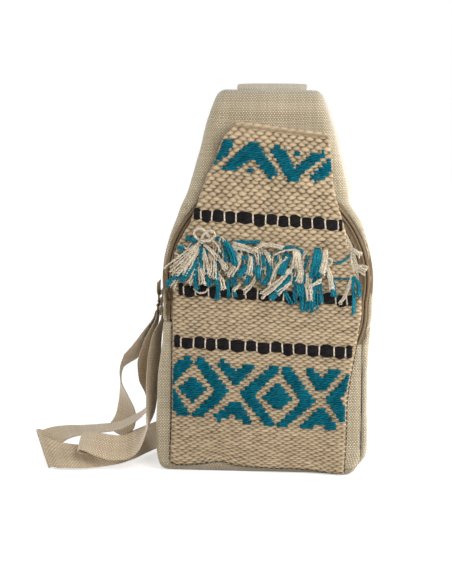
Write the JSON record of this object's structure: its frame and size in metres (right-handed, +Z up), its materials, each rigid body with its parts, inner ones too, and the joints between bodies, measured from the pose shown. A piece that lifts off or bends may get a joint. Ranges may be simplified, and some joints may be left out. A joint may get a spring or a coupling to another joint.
{
  "type": "backpack",
  "caption": "Slim upright single-strap canvas backpack with a handwoven front panel, yarn fringe, arched zip and loose side webbing.",
  "frame": {"origin": "centre of the flat base, on the ground", "axes": "+Z up the bag, -Y out of the front panel, +X to the bag's left as it is worn, which is the viewer's right"},
  "size_m": [0.3179, 0.1386, 0.3619],
  "materials": {
    "canvas": "matte, basket weave, natural undyed",
    "woven_yarn": "thick slubby wool weft, natural",
    "cream_yarn": "soft plied yarn",
    "teal_yarn": "soft plied yarn, dyed",
    "dark_yarn": "thick yarn, nearly black",
    "zip_tape": "woven polyester tape",
    "zip_coil": "satin nylon",
    "antique_bronze": "dark antique plating, satin",
    "webbing": "cotton webbing, matte"
  },
  "bodies": {
    "backpack": {"back_panel": "canvas", "upper_shell": "canvas", "lower_gusset": "canvas", "front_panel": "canvas", "strap_base": "canvas", "woven_panel": "woven_yarn", "fringe_cream": "cream_yarn", "fringe_teal": "teal_yarn", "teal_arm_left_foot": "teal_yarn", "teal_arm_left_top": "teal_yarn", "teal_chevron_1": "teal_yarn", "teal_chevron_2": "teal_yarn", "teal_chevron_3": "teal_yarn", "teal_chevron_4": "teal_yarn", "teal_diamond_1": "teal_yarn", "teal_diamond_2": "teal_yarn", "teal_peak_1": "teal_yarn", "teal_peak_2": "teal_yarn", "teal_top_arm_left": "teal_yarn", "teal_top_arm_right": "teal_yarn", "teal_top_peak": "teal_yarn", "teal_top_vee": "teal_yarn", "teal_vee_1": "teal_yarn", "teal_vee_2": "teal_yarn", "dark_band_lower": "dark_yarn", "dark_band_middle": "dark_yarn", "dark_band_upper": "dark_yarn", "zip_tape_inner": "zip_tape", "zip_tape_outer": "zip_tape", "zip_chain_inner": "zip_coil", "zip_chain_outer": "zip_coil", "zip_stop_left": "antique_bronze", "zip_stop_right": "antique_bronze", "side_ring": "antique_bronze", "side_adjuster": "antique_bronze", "base_ring": "antique_bronze", "side_tab": "webbing", "side_link": "webbing", "strap_long": "webbing", "strap_tails": "webbing"},
    "zip_slider": {"zip_slider": "antique_bronze"},
    "zip_puller": {"zip_puller": "antique_bronze"}
  },
  "joints": [
    {"name": "zip_slider_travel", "type": "hinge", "parent": "backpack", "child": "zip_slider", "pos_m": [0, -0.02399, 0.17795], "axis": [0, 0.9969, -0.0785], "range_deg": [0, 199]},
    {"name": "zip_puller_flip", "type": "hinge", "parent": "zip_slider", "child": "zip_puller", "pos_m": [-0.09016, -0.02781, 0.16263], "axis": [-0.9984, 0.0044, 0.0557], "range_deg": [-4, 160]}
  ]
}
